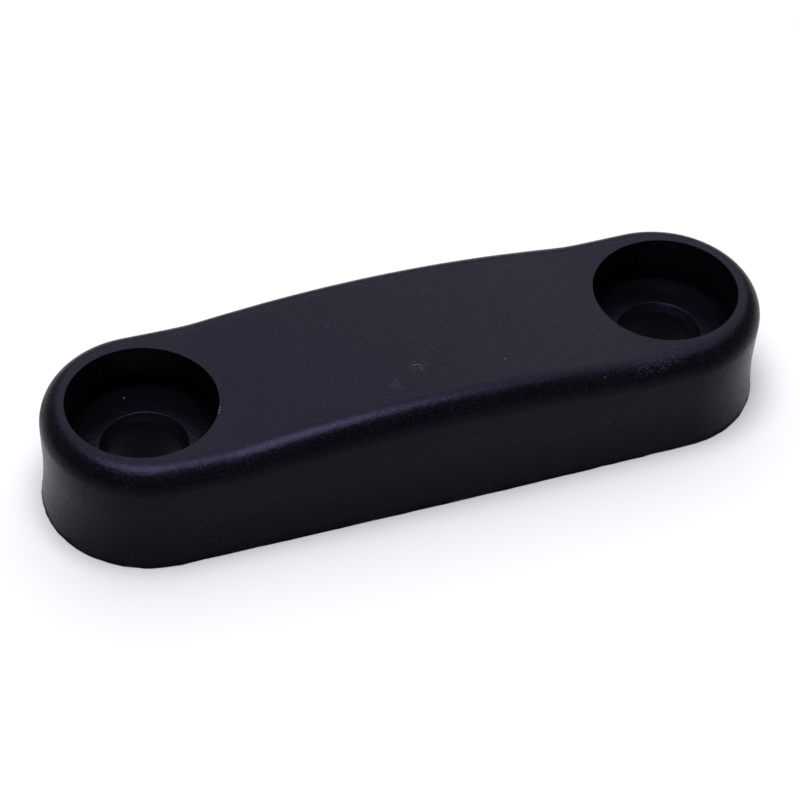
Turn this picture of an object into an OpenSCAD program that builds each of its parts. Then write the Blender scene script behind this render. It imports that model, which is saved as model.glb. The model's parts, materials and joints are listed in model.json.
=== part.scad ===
// Armrest pad: a low, round-ended moulded block that is screwed down through
// two deep wells. A dense skin covers a foam core, and a steel reinforcement
// of a plate, two sleeves and two load washers is moulded in.
//
// Origin: centre of the base, on the surface the pad is screwed to.
// +X runs from the left well to the right well, +Z points up out of the wells.

/* [Overall] */
// Distance between the centres of the two screw holes
hole_pitch = 101.6; // [85:0.1:200]
// How far each screw hole lies outside the centre of its round end
hole_offset = 1.05; // [0:0.05:1.5]
// Width of the base at the round ends, and twice the radius of each end
base_w = 40.4; // [38:0.1:60]
// Height of the sloping ends, at the centres of the screw holes
end_h = 22.1; // [20:0.1:45]
// Slope of the ends, in degrees, rising outwards
end_slope = 1.7; // [0:0.1:3]
// How far each long side bows out at its middle
side_bow = 0.35; // [0:0.05:3]

/* [Side wall] */
// How far the wall flares out on each side, from the waist down to the base
flare = 0.9; // [0:0.1:2]
// Height of the waist, where the flare ends
waist_h = 11; // [6:0.5:15]
// How far the wall leans out on each side, from the waist up to the top edge
lip = 0.1; // [0:0.05:1]
// Radius that rounds the top edge
edge_r = 4.5; // [1:0.1:5]

/* [Crown] */
// How far the arched middle stands above the feet of the arch
crown_rise = 2.8; // [0.5:0.1:8]
// Length of the arched middle, between its two feet
crown_len = 75; // [40:1:84]
// Height over which each foot of the arch is blended into its end
crown_blend = 0.45; // [0.1:0.05:1]

/* [Wells] */
// Diameter of the wells that take the screw heads
well_d = 27.5; // [22:0.1:30]
// Depth of a well, from its mouth down to its ledge
well_depth = 11; // [5:0.1:12]
// Height and width of the sloping corner between the ledge and the wall of the well
ledge_corner = 1.4; // [0.2:0.1:1.8]
// Diameter of the through hole in each well
hole_d = 13.5; // [8:0.1:18]
// Height and width of the chamfer around the rim of the hole
rim_chamfer = 1.4; // [0.2:0.1:1.5]

/* [Skin] */
// Thickness of the dense skin
skin_t = 2.5; // [1.5:0.1:3]
// Thickness of the skin that lines each through hole
lining_t = 1.5; // [1:0.1:2]
// Thickness of the skin under each ledge
ledge_t = 1.7; // [1:0.1:2]

/* [Steel] */
// Thickness of the base plate
plate_t = 2; // [1:0.1:3]
// Thickness of each load washer
washer_t = 2; // [1:0.1:3]
// Wall of each sleeve
sleeve_t = 1.5; // [1:0.1:2]
// Foam left between the steel and the skin of the side wall
steel_cover = 2; // [1:0.1:2.5]
// Diameter of the holes that key the plate into the foam
key_d = 12; // [4:0.5:16]
// Distance between the keying holes
key_pitch = 20; // [17:0.5:22]
// Number of keying holes
key_count = 3; // [1:1:3]

/* [Fit] */
// Gap left between bonded pieces
bond_gap = 0.05; // [0.02:0.01:0.2]

/* [Hidden] */
$fn = 96;

skin_colour = "#1d1c22";
foam_colour = "#3a3a3c";
steel_colour = "#8d9196";

left = -hole_pitch / 2;
right = hole_pitch / 2;
well_r = well_d / 2;
hole_r = hole_d / 2;

end_x = right - hole_offset;
waist_r = base_w / 2 - flare;
shoulder_r = waist_r + lip;
shoulder_h = end_h - edge_r;
above_top = end_h + crown_rise + 2;
below_base = -1;

ledge_z = end_h - well_depth;

// Heights of the moulded-in stack, from the base skin up to the ledge
plate_z = skin_t + bond_gap;
sleeve_z = plate_z + plate_t;
washer_top = ledge_z - ledge_t - bond_gap;
washer_z = washer_top - washer_t;

// Radii of the moulded-in stack, from the hole lining out to the side wall
lining_r = hole_r + lining_t;
steel_inner_r = lining_r + bond_gap;
steel_outer_r = waist_r - skin_t - steel_cover;

// Segments around each round end, and along each long side
end_steps = 20;
side_steps = 24;
outline_steps = 2 * (end_steps + side_steps);
// Rings up the flare, and around the top edge
flare_rings = 4;
edge_rings = 6;
// Smallest edge radius left on an inset surface
least_edge_r = 0.5;

// Radius of the arc that crowns the middle, from its length and its rise
crown_r = (pow(crown_len / 2, 2) + pow(crown_rise, 2)) / (2 * crown_rise);

// Height of the sloping ends at x, measured from their height at the holes
function slope(x) = (abs(x) - right) * tan(end_slope);

// Height of the arc above the sloping ends: it is negative beyond its feet
function arch(x) = sqrt(max(0, pow(crown_r, 2) - pow(x, 2))) - crown_r + crown_rise
    + slope(crown_len / 2) - slope(x);

// Height of the top at x, measured from end_h: the arch has soft feet
function top_rise(x) = slope(x) + (arch(x) + sqrt(pow(arch(x), 2) + pow(crown_blend, 2))) / 2;

// Sideways bow of a long side at x
function bow(x) = side_bow * (1 - pow(x / end_x, 2));

// One level outline of the pad, as [x, y], for an end radius of r
function outline(r) = concat(
    [for (i = [0 : end_steps - 1]) let (a = -90 + 180 * i / end_steps)
        [end_x + r * cos(a), r * sin(a)]],
    [for (i = [0 : side_steps - 1]) let (x = end_x * (1 - 2 * i / side_steps))
        [x, r + bow(x)]],
    [for (i = [0 : end_steps - 1]) let (a = 90 + 180 * i / end_steps)
        [-end_x + r * cos(a), r * sin(a)]],
    [for (i = [0 : side_steps - 1]) let (x = -end_x * (1 - 2 * i / side_steps))
        [x, -r - bow(x)]]);

// End radius of the side wall at height z
function wall_r(z) = z < waist_h
    ? waist_r + flare * pow(1 - z / waist_h, 2)
    : waist_r + lip * (z - waist_h) / (shoulder_h - waist_h);

// Side profile as [end radius, height], from the base to the top. With an inset
// it is the profile of the surface that far inside the wall and the top.
function profile(inset) =
    let (e = max(least_edge_r, edge_r - inset), top_z = end_h - inset)
    concat(
        [for (i = [0 : flare_rings]) let (z = inset + (waist_h - inset) * i / flare_rings)
            [wall_r(z) - inset, z]],
        [for (i = [0 : edge_rings]) let (a = 90 * i / edge_rings)
            [shoulder_r - inset - e * (1 - cos(a)), top_z - e * (1 - sin(a))]]);

// Height of a point of the profile once the top rises: not at all at the bottom
// ring, in full at the shoulder and above, and in proportion between
function lifted(x, z, bottom_z, shoulder_z) =
    z + top_rise(x) * min(1, (z - bottom_z) / (shoulder_z - bottom_z));

// The closed form of the pad, or of the surface that far inside its own
module pad_form(inset = 0) {
    rings = profile(inset);
    shoulder_z = rings[flare_rings + 1][1];
    n = outline_steps;
    last = len(rings) - 1;
    points = [for (ring = rings) for (p = outline(ring[0]))
        [p[0], p[1], lifted(p[0], ring[1], inset, shoulder_z)]];
    base = [for (i = [0 : n - 1]) i];
    sides = [for (k = [0 : last - 1]) for (i = [0 : n - 1])
        let (a = k * n + i, b = k * n + (i + 1) % n, c = b + n, d = a + n)
        each [[a, d, c], [a, c, b]]];
    // Strips that run straight across close the top, from the right end to the left
    top = [for (i = [end_steps / 2 : end_steps / 2 + n / 2 - 1])
        [for (p = strip(i, (i + 1) % n, n)) last * n + p]];
    polyhedron(points = points, faces = concat([base], sides, top), convexity = 4);
}

// The point across the pad from point i of an outline of n points
function across(i, n) = (n + end_steps - i) % n;

// The corners of one strip of the top, which is a triangle at either end
function strip(a, b, n) =
    a == across(a, n) ? [a, across(b, n), b]
    : b == across(b, n) ? [a, across(a, n), b]
    : [a, across(a, n), across(b, n), b];

module at_wells() {
    for (x = [left, right]) translate([x, 0, 0]) children();
}

// A ring that stands on height z
module ring(inner_r, outer_r, z, h) {
    translate([0, 0, z]) difference() {
        cylinder(r = outer_r, h = h);
        translate([0, 0, -1]) cylinder(r = inner_r, h = h + 2);
    }
}

// The space of one well, its flat ledge and its chamfered through hole
module well_space() {
    rotate_extrude() polygon([
        [0, below_base], [hole_r, below_base],
        [hole_r, ledge_z - rim_chamfer], [hole_r + rim_chamfer, ledge_z],
        [well_r - ledge_corner, ledge_z], [well_r, ledge_z + ledge_corner],
        [well_r, above_top], [0, above_top]]);
}

// The dense skin around one well and its hole, grown by a gap for what meets it
module well_skin(gap = 0) {
    translate([0, 0, washer_top + bond_gap - gap])
        cylinder(r = well_r + skin_t + gap, h = above_top);
    translate([0, 0, below_base])
        cylinder(r = lining_r + gap, h = above_top);
}

// Everything inside the skin, drawn back by a gap
module inside_skin(gap = 0) {
    difference() {
        pad_form(skin_t + gap);
        at_wells() well_skin(gap);
    }
}

// Outline of the base plate, grown by a gap
module plate_outline(gap = 0) {
    difference() {
        union() {
            at_wells() circle(r = steel_outer_r + gap);
            square([hole_pitch, 2 * (steel_outer_r + gap)], center = true);
        }
        at_wells() circle(r = steel_inner_r - gap);
        for (i = [0 : key_count - 1])
            translate([(i - (key_count - 1) / 2) * key_pitch, 0]) circle(d = key_d - 2 * gap);
    }
}

// The space that the steel takes out of the foam
module steel_space() {
    translate([0, 0, plate_z - bond_gap])
        linear_extrude(plate_t + 2 * bond_gap) plate_outline(bond_gap);
    at_wells() {
        translate([0, 0, sleeve_z])
            cylinder(r = steel_inner_r + sleeve_t + bond_gap, h = washer_top - sleeve_z);
        translate([0, 0, washer_z - bond_gap]) cylinder(r = steel_outer_r + bond_gap, h = above_top);
    }
}

module pad_skin() {
    color(skin_colour) difference() {
        pad_form();
        inside_skin();
        at_wells() well_space();
    }
}

module foam_core() {
    color(foam_colour) difference() {
        inside_skin(bond_gap);
        steel_space();
    }
}

module base_plate() {
    color(steel_colour) translate([0, 0, plate_z]) linear_extrude(plate_t) plate_outline();
}

module sleeve(x) {
    color(steel_colour) translate([x, 0, 0])
        ring(steel_inner_r, steel_inner_r + sleeve_t, sleeve_z, washer_z - sleeve_z);
}

module load_washer(x) {
    color(steel_colour) translate([x, 0, 0])
        ring(steel_inner_r, steel_outer_r, washer_z, washer_t);
}

module left_sleeve() { sleeve(left); }
module right_sleeve() { sleeve(right); }
module left_load_washer() { load_washer(left); }
module right_load_washer() { load_washer(right); }

pad_skin();
foam_core();
base_plate();
left_sleeve();
right_sleeve();
left_load_washer();
right_load_washer();
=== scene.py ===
# %% [markdown]
# # A moulded armrest pad
#
# The pad is a low block of black rubber with round ends. Two deep wells take
# its screws, its middle is arched, and its top edge is rounded all the way
# round. Inside the skin lie a foam core and a steel reinforcement, which are
# seen only when the part is taken to pieces.
#
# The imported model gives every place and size. This lesson builds the skin
# again as a finer mesh, and gives each piece the finish of the real material.

# %% Load the frame
import json
import math

import bmesh
import bpy
from mathutils import Matrix, Vector


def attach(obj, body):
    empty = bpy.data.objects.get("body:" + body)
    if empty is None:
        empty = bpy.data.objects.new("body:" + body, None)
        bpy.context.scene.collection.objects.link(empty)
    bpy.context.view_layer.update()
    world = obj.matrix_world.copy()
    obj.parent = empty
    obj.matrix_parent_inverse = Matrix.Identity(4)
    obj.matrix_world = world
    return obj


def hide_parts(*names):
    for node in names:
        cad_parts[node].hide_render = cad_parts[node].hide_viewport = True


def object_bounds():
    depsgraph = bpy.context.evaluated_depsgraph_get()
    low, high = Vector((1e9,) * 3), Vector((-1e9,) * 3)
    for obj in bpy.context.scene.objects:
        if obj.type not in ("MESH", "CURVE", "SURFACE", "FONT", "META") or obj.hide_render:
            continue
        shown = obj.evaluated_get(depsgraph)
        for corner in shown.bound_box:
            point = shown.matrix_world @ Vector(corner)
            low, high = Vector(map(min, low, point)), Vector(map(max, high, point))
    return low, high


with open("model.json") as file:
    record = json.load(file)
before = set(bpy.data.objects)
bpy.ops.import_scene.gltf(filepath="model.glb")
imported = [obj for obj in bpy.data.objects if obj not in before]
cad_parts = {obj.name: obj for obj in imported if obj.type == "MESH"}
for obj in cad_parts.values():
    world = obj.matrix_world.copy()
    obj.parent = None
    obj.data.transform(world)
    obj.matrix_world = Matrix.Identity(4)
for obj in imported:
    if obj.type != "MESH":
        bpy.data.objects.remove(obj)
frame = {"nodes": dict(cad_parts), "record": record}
cad_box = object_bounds()
MM = 0.001
print("size of the packed model in mm:", [round(side / MM, 2) for side in cad_box[1] - cad_box[0]])

# %% [markdown]
# ## The camera
#
# A camera could be aimed with a constraint. Here its turn is worked out from
# three angles instead, because that says plainly where it stands: first it is
# swung round the pad, then raised above it, then rolled about its own sight
# line. The lens is a long one, so the far end of the pad isn't much smaller.

# %% Camera
SWING = math.radians(-21.526)
RAISE = math.radians(45.424)
ROLL = math.radians(3.211)
DISTANCE = 438.75 * MM
AIM = Vector((1.159, 7.240, 0.0)) * MM

turn = Matrix.Rotation(SWING, 4, "Z")
turn = turn @ Matrix.Rotation(math.pi / 2 - RAISE, 4, "X")
turn = turn @ Matrix.Rotation(ROLL, 4, "Z")
bpy.ops.object.camera_add()
camera = bpy.context.object
camera.name = "camera"
camera.matrix_world = Matrix.Translation(AIM + DISTANCE * turn.col[2].to_3d()) @ turn
camera.data.lens = 102.79
camera.data.sensor_width = 36.0
camera.data.clip_start = 0.01
bpy.context.scene.camera = camera
print("camera at", [round(side, 4) for side in camera.location])

# %% [markdown]
# ## Working by hand, in code
#
# An operator acts on whatever is selected, so a script needs two small
# habits: make one object the only one selected, and select parts of its mesh
# by where they are. These helpers do that.

# %% Helpers for selecting
def only(piece):
    """Makes this piece the only one selected, and the active one."""
    bpy.ops.object.select_all(action="DESELECT")
    piece.select_set(True)
    bpy.context.view_layer.objects.active = piece
    return piece


def edit(piece):
    """Opens this piece in edit mode with nothing selected."""
    only(piece)
    bpy.ops.object.mode_set(mode="EDIT")
    bpy.ops.mesh.select_all(action="DESELECT")


def leave_edit():
    bpy.ops.object.mode_set(mode="OBJECT")


def pick(kind, test):
    """Selects the vertices, edges or faces whose corners all pass the test."""
    bpy.ops.mesh.select_mode(type=kind)
    bpy.ops.mesh.select_all(action="DESELECT")
    mesh = bmesh.from_edit_mesh(bpy.context.edit_object.data)
    lists = {"VERT": mesh.verts, "EDGE": mesh.edges, "FACE": mesh.faces}
    found = 0
    for item in lists[kind]:
        corners = [item] if kind == "VERT" else item.verts
        if all(test(corner.co) for corner in corners):
            item.select_set(True)
            found += 1
    mesh.select_flush_mode()
    bmesh.update_edit_mesh(bpy.context.edit_object.data)
    return found


def close_to(a, b, by=0.01 * MM):
    return abs(a - b) < by


# %% Helpers for finishing
def apply_all(piece):
    """Applies the piece's place and its modifiers to its mesh."""
    only(piece)
    bpy.ops.object.transform_apply(location=True, rotation=True, scale=True)
    for modifier in list(piece.modifiers):
        bpy.ops.object.modifier_apply(modifier=modifier.name)


def describe(piece):
    """Prints how big a mesh is, and whether it is closed."""
    mesh = bmesh.new()
    mesh.from_mesh(piece.data)
    open_edges = sum(1 for edge in mesh.edges if len(edge.link_faces) != 2)
    triangles = sum(len(face.verts) - 2 for face in mesh.faces)
    volume = mesh.calc_volume(signed=True) / MM**3
    mesh.free()
    print(f"{piece.name}: {triangles} triangles, {open_edges} open edges, {volume:.0f} mm3")


# %% [markdown]
# ## The section of the pad
#
# Cut across one of its round ends, the pad shows the same section all the way
# round: a wall that flares out to the base, a waist, and a rounded top edge.
# The rounding is a little taller than it is wide, as on soft moulded parts. At
# the very bottom stands the flash, a thin lip of rubber that crept out under
# the mould and was trimmed. The section is drawn as a chain of points, each
# extruded from the last.

# %% Sizes of the section
well_mount = next(m for m in frame["record"]["mounts"] if m["name"] == "right_well")
hole_mount = next(m for m in frame["record"]["mounts"] if m["name"] == "right_hole")
WELL_R = well_mount["dims"]["r_mm"] * MM
HOLE_R = hole_mount["dims"]["r_mm"] * MM
HOLE_X = well_mount["pos_m"][0]
RIM_CHAMFER = 1.4 * MM
LEDGE_CORNER = 1.4 * MM
LEDGE_Z = hole_mount["dims"]["length_mm"] * MM + RIM_CHAMFER
END_H = LEDGE_Z + LEDGE_CORNER + well_mount["dims"]["length_mm"] * MM

HALF_LENGTH = cad_box[1].x
BASE_R = 20.2 * MM
END_X = HALF_LENGTH - BASE_R
FLARE = 0.9 * MM
WAIST_H = 11.0 * MM
LIP = 0.1 * MM
EDGE_IN = 4.3 * MM
EDGE_DOWN = 4.8 * MM
SHOULDER_H = END_H - EDGE_DOWN
WAIST_R = BASE_R - FLARE
SHOULDER_R = WAIST_R + LIP
print(f"round ends: {BASE_R / MM:.2f} mm radius, {END_H / MM:.2f} mm high, centred at {END_X / MM:.2f} mm")


# %% Points of the section
FLASH_H = 0.3 * MM
FLASH_DEPTH = 0.03 * MM
FLARE_STEPS = 8
EDGE_STEPS = 10
TOP_BORDER = 0.5 * MM


def wall_radius(z):
    """Radius of the side wall of a round end at height z."""
    if z < WAIST_H:
        return WAIST_R + FLARE * (1 - z / WAIST_H) ** 2
    return WAIST_R + LIP * (z - WAIST_H) / (SHOULDER_H - WAIST_H)


section = [(BASE_R, 0.0), (BASE_R, 0.7 * FLASH_H), (wall_radius(FLASH_H) - FLASH_DEPTH, FLASH_H)]
for step in range(1, FLARE_STEPS + 1):
    z = FLASH_H + (WAIST_H - FLASH_H) * step / FLARE_STEPS
    section.append((wall_radius(z), z))
for step in range(EDGE_STEPS + 1):
    a = math.pi / 2 * step / EDGE_STEPS
    radius = SHOULDER_R - EDGE_IN * (1 - math.cos(a))
    section.append((radius, SHOULDER_H + EDGE_DOWN * math.sin(a)))
TOP_R = section[-1][0] - TOP_BORDER
section.append((TOP_R, END_H))
print(len(section), "points in the section")


# %% Draw the section
def draw_chain(name, points):
    """Extrudes a chain of vertices through the points, and leaves its end in edit mode."""
    bpy.ops.object.select_all(action="DESELECT")
    bpy.ops.mesh.primitive_plane_add(size=MM, location=points[0])
    piece = bpy.context.object
    piece.name = name
    piece.data.name = name
    bpy.ops.object.transform_apply(location=True)
    edit(piece)
    bpy.ops.mesh.select_all(action="SELECT")
    bpy.ops.mesh.merge(type="CENTER")
    for here, there in zip(points, points[1:]):
        step = Vector(there) - Vector(here)
        bpy.ops.mesh.extrude_vertices_move(TRANSFORM_OT_translate={"value": step})
    bpy.ops.mesh.select_all(action="SELECT")
    return piece


pad = draw_chain("moulded_pad", [(END_X, -radius, z) for radius, z in section])

# %% [markdown]
# ## Round the ends and along the sides
#
# The section now travels once round the pad. A spin turns it round each end,
# and extrusions carry it straight along each side in short steps, because the
# sides will be bowed and arched later and need something to bend. The last
# step lands on the first, so the doubled points are merged.

# %% Spin the ends, extrude the sides
END_STEPS = 48
SIDE_STEPS = 50

for end in (1, -1):
    bpy.ops.mesh.spin(steps=END_STEPS, angle=-math.pi, center=(end * END_X, 0, 0), axis=(0, 0, 1))
    stride = Vector((-end * 2 * END_X / SIDE_STEPS, 0, 0))
    for _ in range(SIDE_STEPS):
        bpy.ops.mesh.extrude_edges_move(TRANSFORM_OT_translate={"value": stride})
bpy.ops.mesh.select_all(action="SELECT")
bpy.ops.mesh.remove_doubles(threshold=0.001 * MM)
leave_edit()
describe(pad)
print("reach along the pad in mm:", [round(v / MM, 2) for v in (pad.bound_box[0][0], pad.bound_box[6][0])])

# %% [markdown]
# ## Close the top and the base
#
# The two long borders of the open top are bridged with cuts, which gives a
# grid that can take the arch. What is left open is half a disc at each end,
# and since each of those stays flat, one face fills it. The base is flat and
# closes with a single face too.

# %% Bridge the top, fill the ends and the base
TOP_CUTS = 13


def on_top(co):
    return close_to(co.z, END_H)


edit(pad)
pick("EDGE", lambda co: on_top(co) and close_to(abs(co.y), TOP_R) and abs(co.x) < END_X + 0.01 * MM)
bpy.ops.mesh.bridge_edge_loops(number_cuts=TOP_CUTS, interpolation="LINEAR")
for end in (1, -1):
    pick("EDGE", lambda co: on_top(co) and end * co.x > END_X - 0.01 * MM
         and math.hypot(co.x - end * END_X, co.y) < TOP_R + 0.01 * MM)
    bpy.ops.mesh.edge_face_add()
pick("EDGE", lambda co: close_to(co.z, 0))
bpy.ops.mesh.edge_face_add()
bpy.ops.mesh.select_all(action="SELECT")
bpy.ops.mesh.normals_make_consistent(inside=False)
leave_edit()
describe(pad)

# %% [markdown]
# ## The trimmed flash
#
# A trimmed lip is seldom quite even, so this one is made ragged. A random push
# moves its points a little, and a second push makes one end rougher. Each push
# has a seed, so it is the same every time. Scaling the lowest ring to no height
# makes the base flat again.

# %% Roughen the flash
RAGGED = 0.11 * MM

edit(pad)
pick("VERT", lambda co: co.z < 0.8 * FLASH_H)
bpy.ops.transform.vertex_random(offset=RAGGED, uniform=0.0, normal=0.0, seed=7)
pick("VERT", lambda co: co.z < 0.8 * FLASH_H and co.x < -END_X)
bpy.ops.transform.vertex_random(offset=RAGGED, uniform=0.0, normal=0.0, seed=12)
pick("VERT", lambda co: co.z < 0.35 * FLASH_H)
bpy.ops.transform.resize(value=(1, 1, 0), center_override=(0, 0, 0))
leave_edit()
describe(pad)

# %% [markdown]
# ## Arch, slope and bow
#
# The middle of the top is a shallow arch, the tops of the ends rise slightly
# outwards, and the long sides bow out by a fraction of a millimetre. All three
# are gentle and change only along the pad, so a lattice suits them: a cage
# with points along the pad, two across and two up. Lifting its upper points
# stretches the pad in proportion to height, so the base stays flat.

# %% How far the top rises, and the sides bow
END_SLOPE = math.tan(math.radians(1.7))
SIDE_BOW = 0.35 * MM
CROWN_RISE = 2.8 * MM
CROWN_HALF = 37.5 * MM
CROWN_BLEND = 0.45 * MM
CROWN_R = (CROWN_HALF**2 + CROWN_RISE**2) / (2 * CROWN_RISE)


def slope(x):
    return (abs(x) - HOLE_X) * END_SLOPE


def top_rise(x):
    """Height of the top at x above END_H: an arc with soft feet, between sloping ends."""
    arc = math.sqrt(CROWN_R**2 - x**2) - CROWN_R + CROWN_RISE
    above = arc + slope(CROWN_HALF) - slope(x)
    return slope(x) + (above + math.hypot(above, CROWN_BLEND)) / 2


def side_bow(x):
    return SIDE_BOW * max(0.0, 1 - (x / END_X) ** 2)


print(f"crown radius {CROWN_R / MM:.0f} mm, middle {(END_H + top_rise(0)) / MM:.2f} mm high")

# %% Shape the pad with a lattice
CAGE_POINTS = 57

bpy.ops.object.select_all(action="DESELECT")
bpy.ops.object.add(type="LATTICE", location=(0, 0, END_H / 2))
cage = bpy.context.object
cage.scale = (2 * HALF_LENGTH, 2 * SHOULDER_R, END_H)
cage.data.points_u = CAGE_POINTS
cage.data.interpolation_type_u = "KEY_CARDINAL"
cage.data.interpolation_type_v = "KEY_LINEAR"
cage.data.interpolation_type_w = "KEY_LINEAR"
bpy.context.view_layer.update()
for point in cage.data.points:
    place = cage.matrix_world @ point.co
    place.y += math.copysign(side_bow(place.x), place.y)
    if place.z > END_H / 2:
        place.z += top_rise(place.x)
    point.co_deform = cage.matrix_world.inverted() @ place

only(pad)
bpy.ops.object.modifier_add(type="LATTICE")
pad.modifiers[-1].object = cage
apply_all(pad)
bpy.data.objects.remove(cage)
describe(pad)
print("height in mm:", round(max(v.co.z for v in pad.data.vertices) / MM, 2))

# %% [markdown]
# ## The wells
#
# Each well is a straight bore with a flat ledge for the screw's washer, and a
# narrower hole goes on down through the base. A slope fills the corner between
# wall and ledge, and the rim of the hole is chamfered. A cutter of that shape
# is modelled once from a cylinder: an inset and an extrusion make the hole,
# and bevels of a single segment make both slopes. Moulded rubber has no knife
# edges, so a hair-thin second bevel softens the creases that catch the light.
# The cutter is used at one end, moved to the other and used again, each time
# with a Boolean.

# %% Model the cutter
WELL_SIDES = 128
CLEAR = 3.0 * MM


def ring_edges(radius, z):
    """Selects the edges of the cutter's ring of this radius, at this height."""
    return pick("EDGE", lambda co: close_to(math.hypot(co.x - HOLE_X, co.y), radius) and close_to(co.z, z))


cutter_h = END_H - LEDGE_Z + CROWN_RISE + CLEAR
bpy.ops.object.select_all(action="DESELECT")
bpy.ops.mesh.primitive_cylinder_add(
    vertices=WELL_SIDES, radius=WELL_R, depth=cutter_h, location=(HOLE_X, 0, LEDGE_Z + cutter_h / 2))
cutter = bpy.context.object
cutter.name = "well_cutter"
apply_all(cutter)
edit(cutter)
pick("FACE", lambda co: close_to(co.z, LEDGE_Z))
bpy.ops.mesh.inset(thickness=WELL_R - HOLE_R)
bpy.ops.mesh.extrude_region_move(TRANSFORM_OT_translate={"value": (0, 0, -LEDGE_Z - CLEAR)})
print(ring_edges(WELL_R, LEDGE_Z), "edges sloped at the ledge")
bpy.ops.mesh.bevel(offset=LEDGE_CORNER, segments=1)
print(ring_edges(HOLE_R, LEDGE_Z), "edges chamfered at the rim")
bpy.ops.mesh.bevel(offset=RIM_CHAMFER, segments=1)
creases = (
    (WELL_R, LEDGE_Z + LEDGE_CORNER, 0.4 * MM),
    (HOLE_R + RIM_CHAMFER, LEDGE_Z, 0.08 * MM),
    (HOLE_R, LEDGE_Z - RIM_CHAMFER, 0.2 * MM),
)
for radius, z, softness in creases:
    ring_edges(radius, z)
    bpy.ops.mesh.bevel(offset=softness, segments=3)
leave_edit()
describe(cutter)


# %% Cut both wells
def cut(piece, tool):
    only(piece)
    bpy.ops.object.modifier_add(type="BOOLEAN")
    piece.modifiers[-1].object = tool
    piece.modifiers[-1].operation = "DIFFERENCE"
    piece.modifiers[-1].solver = "EXACT"
    apply_all(piece)


cut(pad, cutter)
only(cutter)
bpy.ops.transform.translate(value=(-2 * HOLE_X, 0, 0))
apply_all(cutter)
cut(pad, cutter)
bpy.data.objects.remove(cutter)
describe(pad)

# %% [markdown]
# ## The hollow inside
#
# The skin is a shell: the foam fills the space inside it. That space is
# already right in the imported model, so its surface is borrowed: a copy of the
# packed skin is merged, parted into its loose surfaces, and the inner one is
# joined to the pad. Its faces already point into the hollow, away from the
# rubber, which is what outwards means on an inner wall.

# %% Borrow the surface of the hollow
skin_copy = bpy.data.objects.new("hollow", frame["nodes"]["pad_skin"].data.copy())
skin_copy.data.materials.clear()
bpy.context.collection.objects.link(skin_copy)
edit(skin_copy)
bpy.ops.mesh.select_all(action="SELECT")
bpy.ops.mesh.customdata_custom_splitnormals_clear()
bpy.ops.mesh.remove_doubles(threshold=0.0005 * MM)
bpy.ops.mesh.select_all(action="SELECT")
bpy.ops.mesh.separate(type="LOOSE")
leave_edit()
surfaces = sorted(bpy.context.selected_objects, key=lambda surface: surface.dimensions.x)
hollow = surfaces[0]
describe(hollow)
for surface in surfaces[1:]:
    bpy.data.objects.remove(surface)
only(pad)
hollow.select_set(True)
bpy.ops.object.join()
bpy.ops.object.shade_smooth_by_angle(angle=math.radians(32))
describe(pad)

# %% [markdown]
# ## Black moulded rubber
#
# Moulded rubber is nearly black, and what is seen of it is mostly its soft
# sheen, with a hint of violet. The mould's own surface leaves a fine grain, the
# sheen varies in broad patches where the part was handled, and it carries a few
# scuffs and specks of dust. The grain is bump, the patches are roughness, and
# the scuffs and the dust are a lighter and duller colour, put on by masks. A
# paler speckle on the peaks of the grain keeps the top from looking like glass.
# Three of these are choices of looks, not known facts about such a part: the
# speckle, the smoother finish of the wells, which keeps their ledges as dark as
# they should be, and the duller one of the through holes. The speckle is left
# out of the wells, and that is painted shade, which darkens them. Taking the
# absolute value of a place lets one mask serve both wells.


# %% Helpers for materials
def new_material(name):
    material = bpy.data.materials.new(name)
    material.use_nodes = True
    return material, material.node_tree, material.node_tree.nodes["Principled BSDF"]


def add_node(tree, kind, **settings):
    """Adds a node: a setting names a property, or an input with _ for each space."""
    node = tree.nodes.new("ShaderNode" + kind)
    for key, value in settings.items():
        if hasattr(node, key):
            setattr(node, key, value)
        else:
            target = node.inputs[key.replace("_", " ")]
            if isinstance(value, bpy.types.NodeSocket):
                tree.links.new(value, target)
            else:
                target.default_value = value
    return node


def noise(tree, place, scale, detail=2.0, roughness=0.5):
    node = add_node(tree, "TexNoise", Vector=place, Scale=scale, Detail=detail, Roughness=roughness)
    return node.outputs["Fac"]


def remap(tree, value, low, high, to_low, to_high):
    node = add_node(tree, "MapRange", Value=value, From_Min=low, From_Max=high,
                    To_Min=to_low, To_Max=to_high)
    return node.outputs["Result"]


def blend_colours(tree, factor, one, other):
    node = add_node(tree, "Mix", data_type="RGBA")
    for socket, value in ((node.inputs[0], factor), (node.inputs[6], one), (node.inputs[7], other)):
        if isinstance(value, bpy.types.NodeSocket):
            tree.links.new(value, socket)
        else:
            socket.default_value = value
    return node.outputs[2]


def raise_surface(tree, height, depth, under=None):
    """A bump whose height of 1 stands for a depth in metres."""
    node = add_node(tree, "Bump", Height=height, Distance=depth, Strength=1.0)
    if under:
        tree.links.new(under, node.inputs["Normal"])
    return node.outputs["Normal"]


# %% Helpers for marks
def spot(tree, place, centre, radius, core):
    """A mask that is full up to a part of the radius, its core, and has faded out at the radius, in mm."""
    away = add_node(tree, "VectorMath", operation="DISTANCE", Vector=place)
    away.inputs[1].default_value = Vector(centre) * MM
    return remap(tree, away.outputs["Value"], core * radius * MM, radius * MM, 1.0, 0.0)


def combine(tree, operation, one, other):
    node = add_node(tree, "Math", operation=operation, use_clamp=True)
    tree.links.new(one, node.inputs[0])
    tree.links.new(other, node.inputs[1])
    return node.outputs[0]


def all_spots(tree, place, spots, core):
    """One mask for several spots, each a point and a radius in mm."""
    mask = None
    for centre, radius in spots:
        new = spot(tree, place, centre, radius, core)
        mask = combine(tree, "MAXIMUM", mask, new) if mask else new
    return mask


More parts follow.
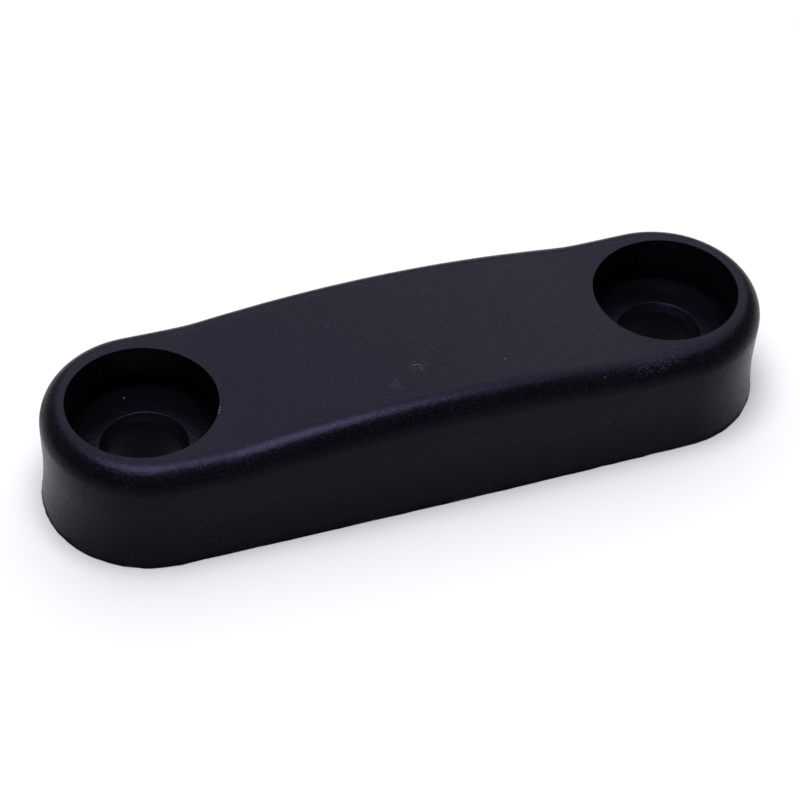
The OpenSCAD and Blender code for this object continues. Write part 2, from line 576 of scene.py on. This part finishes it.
# %% Where the marks are
TOP_SCUFFS = [((-1.7, -7.8, 24.2), 2.3), ((-7.1, -11.5, 23.8), 1.7)]
EDGE_SCUFFS = [((39.0, -17.9, 21.8), 2.4), ((42.0, -17.8, 22.1), 2.6), ((45.0, -17.5, 22.3), 2.2),
               ((-67.6, 4.6, 20.5), 2.4)]
BASE_SCUFFS = [((-37.5, -19.8, 0.3), 1.2), ((-40.2, -19.7, 0.4), 0.9)]
SPECKS = [((14.2, -10.5, 24.12), 0.22), ((-51.4, 12.5, 11.1), 0.3),
          ((-38.1, -5.1, 21.9), 0.3), ((-38.3, -5.8, 21.8), 0.35), ((-38.6, -6.4, 21.9), 0.25)]
NICK = ((33.3, -19.5, 10.9), 0.45)
WELL = ((HOLE_X / MM, 0.0, 9.0), 16.5)
BORE = ((HOLE_X / MM, 0.0, 3.0), 11.0)

# How far out each kind of mask stays full, as a part of its radius
NICK_CORE = 0.3
SCUFF_CORE = 0.35
SPECK_CORE = 0.6
FINISH_CORE = 0.86


# %% Scratches
def scratches_in(tree, place, spots):
    """Short streaks, kept to the spots."""
    along = add_node(tree, "Mapping", Vector=place, Scale=(1700.0, 3200.0, 2600.0)).outputs["Vector"]
    streaks = remap(tree, noise(tree, along, 1.0, detail=2.0), 0.53, 0.62, 0.0, 1.0)
    return combine(tree, "MULTIPLY", all_spots(tree, place, spots, SCUFF_CORE), streaks)


# %% Colour of the rubber
RUBBER_DARK = (0.0007, 0.0006, 0.0009, 1.0)
RUBBER_LIGHT = (0.0013, 0.0012, 0.0018, 1.0)
# Paler speckle on the grain. It is kept out of the wells, which paints shade into them
SPECKLE_WITH_WELL_SHADE = (0.0070, 0.0064, 0.0095, 1.0)
SCUFFED = (0.013, 0.012, 0.017, 1.0)
SCUFFED_TOP = (0.022, 0.021, 0.027, 1.0)
DUST = (0.035, 0.035, 0.04, 1.0)


def rubber_colour(tree, place, patches, grain, in_wells, edge_scuffs, top_scuffs):
    tint = remap(tree, patches, 0.3, 0.7, 0.0, 1.0)
    colour = blend_colours(tree, tint, RUBBER_DARK, RUBBER_LIGHT)
    # The speckle is left out of the wells: painted shade that darkens them
    outside_well_shade = remap(tree, in_wells, 0.0, 1.0, 1.0, 0.0)
    speckle_with_well_shade = combine(tree, "MULTIPLY", outside_well_shade, remap(tree, grain, 0.50, 0.80, 0.0, 1.0))
    colour = blend_colours(tree, speckle_with_well_shade, colour, SPECKLE_WITH_WELL_SHADE)
    colour = blend_colours(tree, edge_scuffs, colour, SCUFFED)
    colour = blend_colours(tree, top_scuffs, colour, SCUFFED_TOP)
    loose = add_node(tree, "TexVoronoi", Vector=place, Scale=120.0)
    dust = remap(tree, loose.outputs["Distance"], 0.024, 0.014, 0.0, 1.0)
    dust = combine(tree, "MAXIMUM", dust, all_spots(tree, place, SPECKS, SPECK_CORE))
    return blend_colours(tree, dust, colour, DUST)


# %% Sheen of the rubber
def rubber_roughness(tree, patches, mottle, in_wells, in_bores, scuffs):
    roughness = remap(tree, patches, 0.3, 0.7, 0.23, 0.30)
    roughness = combine(tree, "ADD", roughness, remap(tree, mottle, 0.3, 0.7, 0.0, 0.06))
    roughness = combine(tree, "ADD", roughness, scuffs)
    roughness = combine(tree, "MULTIPLY", roughness, remap(tree, in_wells, 0.0, 1.0, 1.0, 0.65))
    return combine(tree, "ADD", roughness, remap(tree, in_bores, 0.0, 1.0, 0.0, 0.35))


# %% Rubber
MOTTLE_DEPTH = 0.06 * MM
GRAIN_DEPTH = 0.05 * MM
NICK_DEPTH = -0.3 * MM


def black_rubber():
    material, tree, shader = new_material("black_rubber")
    place = add_node(tree, "TexCoord").outputs["Object"]
    mirrored = add_node(tree, "VectorMath", operation="ABSOLUTE", Vector=place).outputs["Vector"]
    patches = noise(tree, place, 55.0, detail=4.0)
    mottle = noise(tree, place, 900.0, detail=3.0)
    grain = noise(tree, place, 2800.0, detail=3.0, roughness=0.6)
    in_wells = spot(tree, mirrored, *WELL, FINISH_CORE)
    in_bores = spot(tree, mirrored, *BORE, FINISH_CORE)
    edge_scuffs = scratches_in(tree, place, EDGE_SCUFFS + BASE_SCUFFS)
    top_scuffs = scratches_in(tree, place, TOP_SCUFFS)
    scuffs = combine(tree, "MAXIMUM", edge_scuffs, top_scuffs)

    colour = rubber_colour(tree, place, patches, grain, in_wells, edge_scuffs, top_scuffs)
    roughness = rubber_roughness(tree, patches, mottle, in_wells, in_bores, scuffs)
    normal = raise_surface(tree, mottle, MOTTLE_DEPTH)
    normal = raise_surface(tree, grain, GRAIN_DEPTH, under=normal)
    normal = raise_surface(tree, spot(tree, place, *NICK, NICK_CORE), NICK_DEPTH, under=normal)
    tree.links.new(colour, shader.inputs["Base Color"])
    tree.links.new(roughness, shader.inputs["Roughness"])
    tree.links.new(normal, shader.inputs["Normal"])
    shader.inputs["Specular IOR Level"].default_value = 0.072
    shader.inputs["Specular Tint"].default_value = (0.61, 0.56, 1.0, 1.0)
    return material


# %% Finish the pad
pad.data.materials.clear()
pad.data.materials.append(black_rubber())
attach(pad, "root")
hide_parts("pad_skin")

# %% [markdown]
# ## Foam and plated steel
#
# The core is fine-celled foam, and the reinforcement is thin steel with a
# bright zinc plating that has clouded a little. Their shapes in the packed
# model are right, so those pieces stay and only get their materials.


# %% Foam
def cell_foam():
    material, tree, shader = new_material("cell_foam")
    place = add_node(tree, "TexCoord").outputs["Object"]
    cells = add_node(tree, "TexVoronoi", Vector=place, Scale=1600.0)
    depth = remap(tree, cells.outputs["Distance"], 0.0, 0.6, 0.0, 1.0)
    patches = noise(tree, place, 90.0, detail=3.0)
    # Painted shade: each cell is coloured darker towards its middle, the bottom of its pit
    pore_shade_colour = blend_colours(tree, depth, (0.006, 0.006, 0.007, 1), (0.022, 0.022, 0.025, 1))
    tone = remap(tree, patches, 0.3, 0.7, 0.0, 0.5)
    tree.links.new(blend_colours(tree, tone, pore_shade_colour, (0.03, 0.029, 0.031, 1)), shader.inputs["Base Color"])
    tree.links.new(remap(tree, patches, 0.3, 0.7, 0.82, 0.94), shader.inputs["Roughness"])
    tree.links.new(raise_surface(tree, depth, 0.15 * MM), shader.inputs["Normal"])
    return material


# %% Plated steel
def plated_steel():
    material, tree, shader = new_material("plated_steel")
    place = add_node(tree, "TexCoord").outputs["Object"]
    along = add_node(tree, "Mapping", Vector=place, Scale=(60.0, 1400.0, 1400.0)).outputs["Vector"]
    brush = noise(tree, along, 1.0, detail=3.0)
    clouds = noise(tree, place, 140.0, detail=5.0)
    tone = remap(tree, clouds, 0.3, 0.7, 0.0, 1.0)
    plating = blend_colours(tree, tone, (0.42, 0.43, 0.45, 1), (0.58, 0.59, 0.62, 1))
    tree.links.new(plating, shader.inputs["Base Color"])
    tree.links.new(remap(tree, clouds, 0.3, 0.7, 0.28, 0.44), shader.inputs["Roughness"])
    tree.links.new(raise_surface(tree, brush, 0.006 * MM), shader.inputs["Normal"])
    shader.inputs["Metallic"].default_value = 1.0
    return material


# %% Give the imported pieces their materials
foam, steel = cell_foam(), plated_steel()
finishes = {"foam_core": foam, "base_plate": steel}
for side in ("left", "right"):
    finishes[side + "_sleeve"] = steel
    finishes[side + "_load_washer"] = steel
for name, finish in finishes.items():
    frame["nodes"][name].material_slots[0].material = finish
print("finished", len(finishes), "packed pieces")

# %% [markdown]
# ## Floor and light
#
# Black rubber shows the room more than itself, so the light is planned as
# reflections. A wide soft panel, from behind the pad to right above it, is
# mirrored by its top. A small bright one overhead draws the line along the
# rounded front edge, and the side where the camera stands stays dim, which
# leaves the dark band under that line. The walls mirror the floor. A white one
# would make them too bright, so it is a mid grey under strong light: it still
# looks white itself. The panels are faintly violet, as the sheen should be.


# %% Floor
def pale_floor():
    material, tree, shader = new_material("pale_floor")
    place = add_node(tree, "TexCoord").outputs["Object"]
    cloud = remap(tree, noise(tree, place, 3.0), 0.3, 0.7, 0.0, 1.0)
    paper = blend_colours(tree, cloud, (0.385, 0.390, 0.370, 1), (0.405, 0.410, 0.390, 1))
    tree.links.new(paper, shader.inputs["Base Color"])
    shader.inputs["Roughness"].default_value = 0.9
    shader.inputs["Specular IOR Level"].default_value = 0.1
    return material


FLOOR_SIZE = 12.0
FLOOR_GAP = 0.05 * MM
bpy.ops.object.select_all(action="DESELECT")
bpy.ops.mesh.primitive_plane_add(size=FLOOR_SIZE, location=(0, 0, -FLOOR_GAP))
floor = bpy.context.object
floor.name = "floor"
floor.data.materials.append(pale_floor())


# %% Lights
PANEL_TINT = (0.90, 0.88, 1.0)
ROOM_TINT = (0.97, 0.98, 1.0, 1.0)
ROOM_BRIGHTNESS = 0.3


def soft_panel(name, azimuth, elevation, distance, size, brightness):
    """A rectangular light that faces the pad. Its brightness is what a mirror would show."""
    a, e = math.radians(azimuth), math.radians(elevation)
    away = Vector((math.sin(a) * math.cos(e), math.cos(a) * math.cos(e), math.sin(e)))
    bpy.ops.object.select_all(action="DESELECT")
    bpy.ops.object.light_add(type="AREA", location=away * distance)
    panel = bpy.context.object
    panel.name = name
    panel.rotation_euler = away.to_track_quat("Z", "Y").to_euler()
    panel.data.shape = "RECTANGLE"
    panel.data.size, panel.data.size_y = size
    panel.data.energy = brightness * math.pi * size[0] * size[1]
    panel.data.color = PANEL_TINT
    print(name, "gives", round(panel.data.energy, 2), "W")


soft_panel("rear_panel", 21.5, 62.0, 1.0, (1.4, 1.56), 3.0)
soft_panel("overhead_panel", -120.0, 84.0, 0.6, (0.34, 0.30), 20.0)

world = bpy.data.worlds.new("studio")
world.use_nodes = True
world.node_tree.nodes["Background"].inputs["Color"].default_value = ROOM_TINT
world.node_tree.nodes["Background"].inputs["Strength"].default_value = ROOM_BRIGHTNESS
bpy.context.scene.world = world
bpy.context.scene.view_settings.view_transform = "Standard"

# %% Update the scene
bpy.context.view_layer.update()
